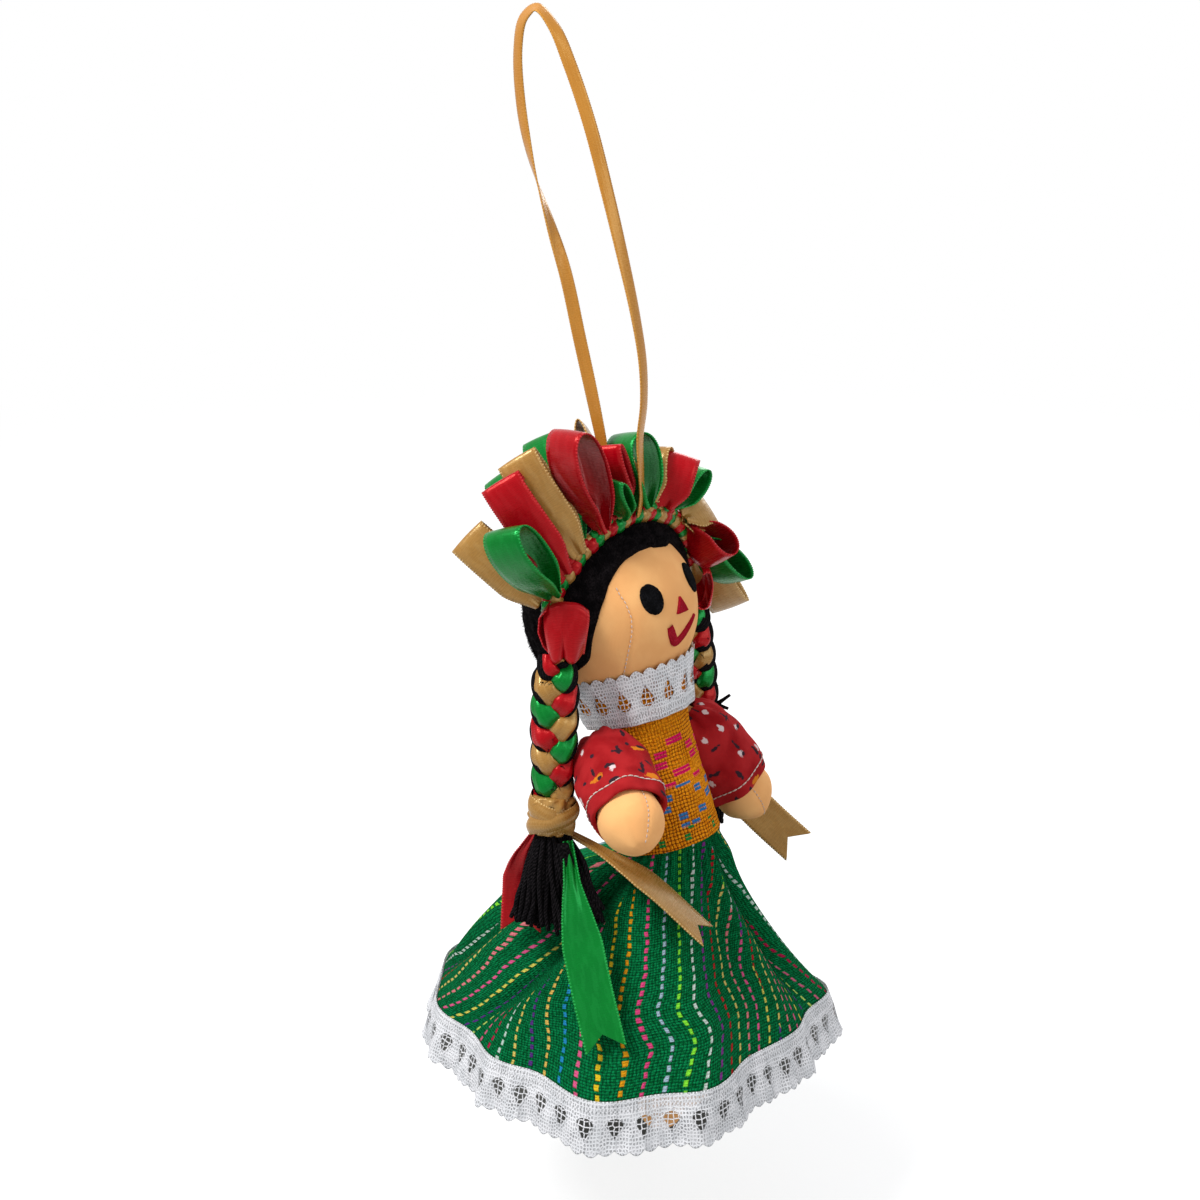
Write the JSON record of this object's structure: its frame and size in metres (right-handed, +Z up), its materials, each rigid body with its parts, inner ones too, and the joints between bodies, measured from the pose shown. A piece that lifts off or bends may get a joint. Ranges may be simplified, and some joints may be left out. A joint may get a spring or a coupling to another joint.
{
  "type": "hanging rag doll",
  "caption": "Stuffed cloth doll in a long striped skirt with lace hem, puff sleeves, tied braids and a ribbon-loop headdress, hung from a ribbon loop.",
  "frame": {"origin": "inside the top of the hanging loop, where it rests on a hook", "axes": "+Z up towards the loop, +X the doll's left, -Y its front"},
  "size_m": [0.1106, 0.1069, 0.2878],
  "materials": {
    "ochre_satin": "narrow satin ribbon",
    "red_satin": "glossy satin ribbon with picot edges",
    "green_satin": "glossy satin ribbon with picot edges",
    "gold_satin": "glossy satin ribbon with picot edges",
    "skin_cotton": "smooth stretch cotton",
    "stuffing": "loose fibre",
    "hair_fleece": "matt brushed fleece",
    "hair_yarn": "matt wool yarn plaited with satin ribbon",
    "black_felt": "matt felt",
    "red_felt": "matt felt",
    "mustard_weave": "open coarse weave with darned zigzags",
    "printed_cotton": "printed cotton with small sprigs and dots",
    "striped_cloth": "hand-woven cloth with dashed coloured stripes",
    "white_lace": "gathered net lace"
  },
  "bodies": {
    "hanger": {"hanger_ribbon": "ochre_satin"},
    "head": {"hanger_end_front": "ochre_satin", "hanger_end_back": "ochre_satin", "head_skin": "skin_cotton", "head_stuffing": "stuffing", "hair_cap": "hair_fleece", "eye_right": "black_felt", "eye_left": "black_felt", "nose": "red_felt", "mouth": "red_felt", "headband_cord": "red_satin", "headdress_loop_01_gold": "gold_satin", "headdress_loop_02_green": "green_satin", "headdress_loop_03_red": "red_satin", "headdress_loop_04_green": "green_satin", "headdress_loop_05_gold": "gold_satin", "headdress_loop_06_green": "green_satin", "headdress_loop_07_red": "red_satin", "headdress_loop_08_gold": "gold_satin", "headdress_loop_09_green": "green_satin", "headdress_loop_10_red": "red_satin", "headdress_loop_11_green": "green_satin", "headdress_loop_12_gold": "gold_satin", "headdress_loop_13_red": "red_satin", "headdress_loop_14_green": "green_satin", "headdress_loop_15_gold": "gold_satin", "headdress_loop_16_red": "red_satin", "headdress_loop_17_green": "green_satin", "headdress_loop_18_gold": "gold_satin", "ear_bow_right": "red_satin", "ear_bow_left": "red_satin"},
    "torso": {"torso_skin": "skin_cotton", "torso_stuffing": "stuffing", "bodice": "mustard_weave", "lace_collar": "white_lace", "skirt": "striped_cloth", "hem_lace": "white_lace"},
    "arm_right": {"arm_right": "skin_cotton", "arm_stuffing_right": "stuffing", "sleeve_right": "printed_cotton"},
    "arm_left": {"arm_left": "skin_cotton", "arm_stuffing_left": "stuffing", "sleeve_left": "printed_cotton"},
    "leg_right": {"leg_right": "skin_cotton", "leg_stuffing_right": "stuffing"},
    "leg_left": {"leg_left": "skin_cotton", "leg_stuffing_left": "stuffing"},
    "braid_right": {"braid_right": "hair_yarn", "braid_tie_right": "gold_satin", "braid_tassel_right": "hair_yarn", "braid_tail_gold_right": "gold_satin", "braid_tail_green_right": "green_satin", "braid_tail_red_right": "red_satin"},
    "braid_left": {"braid_left": "hair_yarn", "braid_tie_left": "gold_satin", "braid_tassel_left": "hair_yarn", "braid_tail_gold_left": "gold_satin", "braid_tail_green_left": "green_satin", "braid_tail_red_left": "red_satin"}
  },
  "joints": [
    {"name": "hanger_swing", "type": "hinge", "parent": "hanger", "child": "head", "pos_m": [0, -0.0239, -0.0995], "axis": [0, 1, 0], "range_deg": [-20, 20]},
    {"name": "neck_nod", "type": "hinge", "parent": "head", "child": "torso", "pos_m": [0.003, -0.02652, -0.16777], "axis": [1, 0, 0], "range_deg": [-4, 4], "stiffness_Nm_per_rad": 0.1, "deforming": ["lace_collar"]},
    {"name": "shoulder_right_lift", "type": "hinge", "parent": "torso", "child": "arm_right", "pos_m": [-0.0144, -0.02922, -0.17636], "axis": [-0.7771, 0.6293, 0], "range_deg": [-4, 42], "stiffness_Nm_per_rad": 0.02},
    {"name": "shoulder_left_lift", "type": "hinge", "parent": "torso", "child": "arm_left", "pos_m": [0.0222, -0.03042, -0.18017], "axis": [-0.766, -0.6428, 0], "range_deg": [-4, 42], "stiffness_Nm_per_rad": 0.02},
    {"name": "hip_right_swing", "type": "hinge", "parent": "torso", "child": "leg_right", "pos_m": [-0.0033, -0.04007, -0.21076], "axis": [1, 0, 0], "range_deg": [-10, 8]},
    {"name": "hip_left_swing", "type": "hinge", "parent": "torso", "child": "leg_left", "pos_m": [0.0093, -0.04007, -0.21076], "axis": [1, 0, 0], "range_deg": [-10, 8]},
    {"name": "braid_right_lift", "type": "hinge", "parent": "head", "child": "braid_right", "pos_m": [-0.0289, -0.0229, -0.1507], "axis": [0, 1, 0], "range_deg": [0, 40], "deforming": ["braid_tail_gold_right", "braid_tail_green_right", "braid_tail_red_right"]},
    {"name": "braid_left_lift", "type": "hinge", "parent": "head", "child": "braid_left", "pos_m": [0.0347, -0.0243, -0.1536], "axis": [0, -1, 0], "range_deg": [0, 40], "deforming": ["braid_tail_gold_left", "braid_tail_green_left", "braid_tail_red_left"]}
  ]
}
